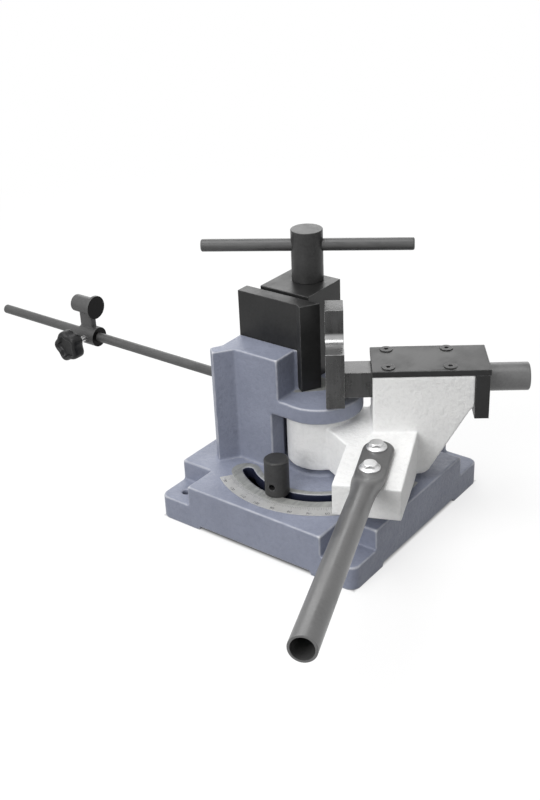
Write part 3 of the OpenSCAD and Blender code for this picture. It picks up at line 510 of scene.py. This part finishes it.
def make_lever():
    x_axis, z_axis = Vector((1, 0, 0)), Vector((0, 0, 1))
    rise = math.radians(LEVER_RISE)
    along = Vector((0, -math.cos(rise), math.sin(rise)))
    rings = []
    # flat end with two rounded corners
    for i in range(CORNER_STEPS + 1):
        a = math.pi / 2 * (1 - i / CORNER_STEPS)
        y = FLAT_L - FLAT_R + FLAT_R * math.sin(a)
        width = FLAT_W - 2 * FLAT_R * (1 - math.cos(a))
        thin = FLAT_EDGE if i == 0 else 0
        rings.append(stadium(width - thin, FLAT_T - thin, Vector((0, y, FLAT_T / 2)), x_axis, z_axis))
    # pressed part opening into the round tube: it lies on the tongue, then lifts on to the tube's axis
    for i in range(CRUSH_STEPS + 1):
        t = i / CRUSH_STEPS
        y = CRUSH_FROM + (CRUSH_TO - CRUSH_FROM) * t
        height = FLAT_T + (TUBE_D - FLAT_T) * smooth_step(t)
        width = min(FLAT_W, height + (GIRTH - math.pi * height) / 2)
        lift = smooth_step(-y / LIFT_L)
        axis_z = TUBE_UP + (-TUBE_START - y) * math.tan(rise)
        centre = Vector((TUBE_SIDE * lift, y, height / 2 + (axis_z - height / 2) * lift))
        up = Vector((0, math.sin(rise * lift), math.cos(rise * lift)))
        rings.append(stadium(width, height, centre, x_axis, up))
    up = Vector((0, math.sin(rise), math.cos(rise)))
    start = Vector((TUBE_SIDE, -TUBE_START, TUBE_UP))
    for d, shrink in ((ROUND_FROM, 0), (TUBE_L - TUBE_EDGE, 0), (TUBE_L, 2 * TUBE_EDGE)):
        rings.append(stadium(TUBE_D - shrink, TUBE_D - shrink, start + along * d, x_axis, up))
    inner = TUBE_D - 2 * TUBE_WALL
    rings.append(stadium(inner, inner, start + along * TUBE_L, x_axis, up))
    rings.append(stadium(inner, inner, start + along * (TUBE_L - BORE_L), x_axis, up))
    bm = bmesh.new()
    loft(bm, rings, True, True)
    bm.transform(tongue_frame())
    bmesh.ops.recalc_face_normals(bm, faces=bm.faces)
    lever = new_piece("lever", "arm", lever_oxide, bm)
    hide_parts("lever_tube")


make_lever()


# Star knob: five soft lobes, a raised rim on the front and a dished middle
KNOB_POINTS = 120
KNOB_LOBES = 5
KNOB_WAIST = 18.6
KNOB_TURN = math.radians(38)
KNOB_PROFILE = [
    # mm from the back, mm inset from the lobes' outline, share of the lobes, mm of round radius
    (8, 0, 0, 4.05), (-KNOB_BOSS_L, 0, 0, 4.05), (-KNOB_BOSS_L, 0, 0, 8.1),
    (-KNOB_BOSS_L + 0.4, 0, 0, KNOB_BOSS_D / 2), (-0.4, 0, 0, KNOB_BOSS_D / 2), (0, 0, 0, 9),
    (0.2, 4.5, 0.9, 9), (1, 2, 1, 0), (2.4, 0.7, 1, 0), (4.5, 0.1, 1, 0), (8, 0, 1, 0),
    (13, 0, 1, 0), (16.4, 0.2, 1, 0), (18.3, 0.9, 1, 0), (19.4, 2, 1, 0), (19.9, 3.4, 1, 0),
    (KNOB_L, 4.6, 1, 0), (19.7, 5.8, 1, 0), (18.8, 6.8, 1, 0), (17, 7.6, 1, 0),
    (15.6, 8.6, 0.8, 10), (15.2, 9.6, 0.5, 9), (15.1, 0, 0, 8), (15.1, 0, 0, 1),
]


def make_knob():
    stud_low, stud_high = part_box("knob_stud")
    centre_x, centre_z = ((stud_low[i] + stud_high[i]) / 2 / MM for i in (0, 2))
    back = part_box("star_knob")[1][1] / MM - KNOB_BOSS_L
    rings = []
    for place, inset, lobed, around in KNOB_PROFILE:
        ring = []
        for i in range(KNOB_POINTS):
            a = 2 * math.pi * i / KNOB_POINTS
            wave = (1 + math.cos(KNOB_LOBES * (a - KNOB_TURN))) / 2
            outline = KNOB_WAIST + (KNOB_D / 2 - KNOB_WAIST) * wave - inset
            radius = outline * lobed + around * (1 - lobed)
            x, z = centre_x + radius * math.cos(a), centre_z + radius * math.sin(a)
            ring.append(Vector((x, back - place, z)) * MM)
        rings.append(ring)
    bm = bmesh.new()
    loft(bm, rings, True, True)
    bmesh.ops.recalc_face_normals(bm, faces=bm.faces)
    knob = new_piece("knob", "knob", moulded, bm, 50)
    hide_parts("star_knob")


make_knob()


# Scale: degree lines and plain numbers, flat and just clear of the plate, read from the front
SCALE_ZERO = 8
NUMBER_H, NUMBER_IN = 4.2, 1.6
DIGIT_SHARE = 0.7  # a digit's height as a share of the font's size
LINE_W, LINE_IN = 0.32, 0.6
LINE_TEN, LINE_FIVE, LINE_ONE = 8.0, 6.0, 4.2
MARK_LIFT = 0.03


def make_scale_marks():
    bm = bmesh.new()
    z = (BAND_TOP + MARK_LIFT) * MM
    for degree in range(math.ceil(SCALE_ZERO - SCALE_TO), math.floor(SCALE_ZERO - SCALE_FROM)):
        length = LINE_TEN if degree % 10 == 0 else LINE_FIVE if degree % 5 == 0 else LINE_ONE
        start = SCALE_IN + LINE_IN
        turn = Matrix.Rotation(math.radians(SCALE_ZERO - degree), 4, "Z")
        corners = [(start, -LINE_W / 2), (start + length, -LINE_W / 2),
                   (start + length, LINE_W / 2), (start, LINE_W / 2)]
        bm.faces.new([bm.verts.new(turn @ Vector((x * MM, y * MM, z))) for x, y in corners])
    for degree in range(10, math.floor(SCALE_ZERO - SCALE_FROM), 10):
        text = bpy.data.curves.new("number", "FONT")
        text.body = str(degree)
        text.size = NUMBER_H * MM / DIGIT_SHARE
        text.align_x = "CENTER"
        text.resolution_u = 3
        o = bpy.data.objects.new("number", text)
        bpy.context.scene.collection.objects.link(o)
        bpy.context.view_layer.update()
        mesh = bpy.data.meshes.new_from_object(o.evaluated_get(bpy.context.evaluated_depsgraph_get()))
        turn = Matrix.Rotation(math.radians(SCALE_ZERO - degree), 4, "Z")
        at = Matrix.Translation(((SCALE_OUT - NUMBER_IN) * MM, 0, z))
        mesh.transform(turn @ at @ Matrix.Rotation(math.radians(90), 4, "Z"))
        bm.from_mesh(mesh)
        bpy.data.objects.remove(o)
        bpy.data.meshes.remove(mesh)
    new_piece("scale_marks", "base", ink, bm)


make_scale_marks()


# Floor and light
FLOOR_NEAR, FLOOR_FAR = 0.5, 1.6
FLOOR_SIZE = 40
FLOOR_SHADE, FLOOR_GLOW = 0.26, 0.74
FOOT_FADE = 6
WORLD_LIGHT = 0.45
LIGHT_TO = (0, 0, 0.15)


def stage_floor():
    """Ground that keeps the shadow near the object, white further out, and dark under the foot."""
    bpy.ops.mesh.primitive_plane_add(size=FLOOR_SIZE)
    floor = bpy.context.object
    floor.name = "floor"
    n = Nodes("floor")
    distance = n.add("ShaderNodeVectorMath", {0: n.place}, operation="LENGTH").outputs["Value"]
    far = n.ramp(distance, FLOOR_NEAR, FLOOR_FAR)
    out = n.math("MAXIMUM", n.math("ABSOLUTE", n.along("X")), n.math("ABSOLUTE", n.along("Y")))
    lit = n.ramp(out, (FOOT_HALF - FOOT_FADE) * MM, FOOT_HALF * MM)
    n.set("Base Color", n.mix(far, grey(FLOOR_SHADE), grey(0)))
    n.set("Roughness", 0.9)
    n.set("Specular IOR Level", 0.0)
    n.set("Emission Color", grey(1))
    glow = n.math("ADD", FLOOR_GLOW, n.math("MULTIPLY", far, 1 - FLOOR_GLOW))
    n.set("Emission Strength", n.math("MULTIPLY", n.background_ray(), n.math("MULTIPLY", glow, lit)))
    floor.data.materials.append(n.material)


def lamp(name, place, size, power):
    """A square lamp that faces LIGHT_TO: place and size in metres, power in watts."""
    data = bpy.data.lights.new(name, "AREA")
    data.shape = "SQUARE"
    data.size = size
    data.energy = power
    o = bpy.data.objects.new(name, data)
    bpy.context.scene.collection.objects.link(o)
    o.location = place
    o.rotation_euler = (Vector(LIGHT_TO) - Vector(place)).to_track_quat("-Z", "Y").to_euler()


def world():
    """White to whatever sees the background, and a soft fill on the object."""
    sky = bpy.data.worlds.new("world")
    bpy.context.scene.world = sky
    sky.use_nodes = True
    n = Tree(sky.node_tree)
    back = n.tree.nodes["Background"]
    n.tree.links.new(n.ramp(n.background_ray(), 0.0, 1.0, WORLD_LIGHT, 1.0), back.inputs["Strength"])
    back.inputs["Color"].default_value = grey(1)


stage_floor()
world()
lamp("overhead", (-0.35, -0.45, 2.6), 1.8, 39)
lamp("back", (-1.7, 2.2, 1.5), 1.8, 20)
lamp("front", (-0.15, -2.5, 1.5), 1.5, 39)
bpy.context.scene.view_settings.view_transform = "Standard"
